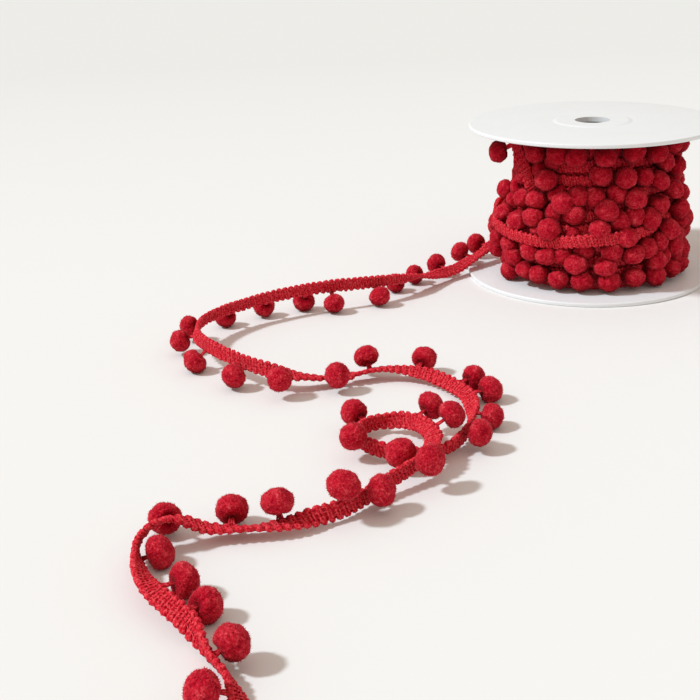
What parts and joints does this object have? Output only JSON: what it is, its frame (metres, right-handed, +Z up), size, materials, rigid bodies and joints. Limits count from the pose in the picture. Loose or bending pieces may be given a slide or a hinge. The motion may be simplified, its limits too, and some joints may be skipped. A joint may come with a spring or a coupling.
{
  "type": "roll of pompom trim",
  "caption": "Flanged reel of red pompom trim, wound full, with a loose end that lies in a hairpin and a loop; for edging cushions, curtains and craft work.",
  "frame": {"origin": "centre of the lower flange's underside, on the reel's axis", "axes": "+Z up along the reel's axis; the loose end leaves at the back left (-X +Y) and lies out towards -X and -Y"},
  "size_m": [0.2912, 0.4449, 0.0855],
  "materials": {
    "reel": "satin white",
    "reel_core": "satin white",
    "wound_trim": "soft matte yarn",
    "braid": "matte braided yarn",
    "pompom_yarn": "cut-pile yarn"
  },
  "bodies": {
    "root": {"reel_lower_flange": "reel", "reel_upper_flange": "reel", "reel_core": "reel_core", "wound_pack": "wound_trim", "tail_braid": "braid", "tail_pompoms_1": "pompom_yarn", "tail_pompoms_2": "pompom_yarn", "tail_pompoms_3": "pompom_yarn", "tail_pompoms_4": "pompom_yarn", "tail_pompoms_5": "pompom_yarn", "tail_pompoms_6": "pompom_yarn", "tail_pompoms_7": "pompom_yarn", "tail_pompoms_8": "pompom_yarn"}
  },
  "joints": []
}
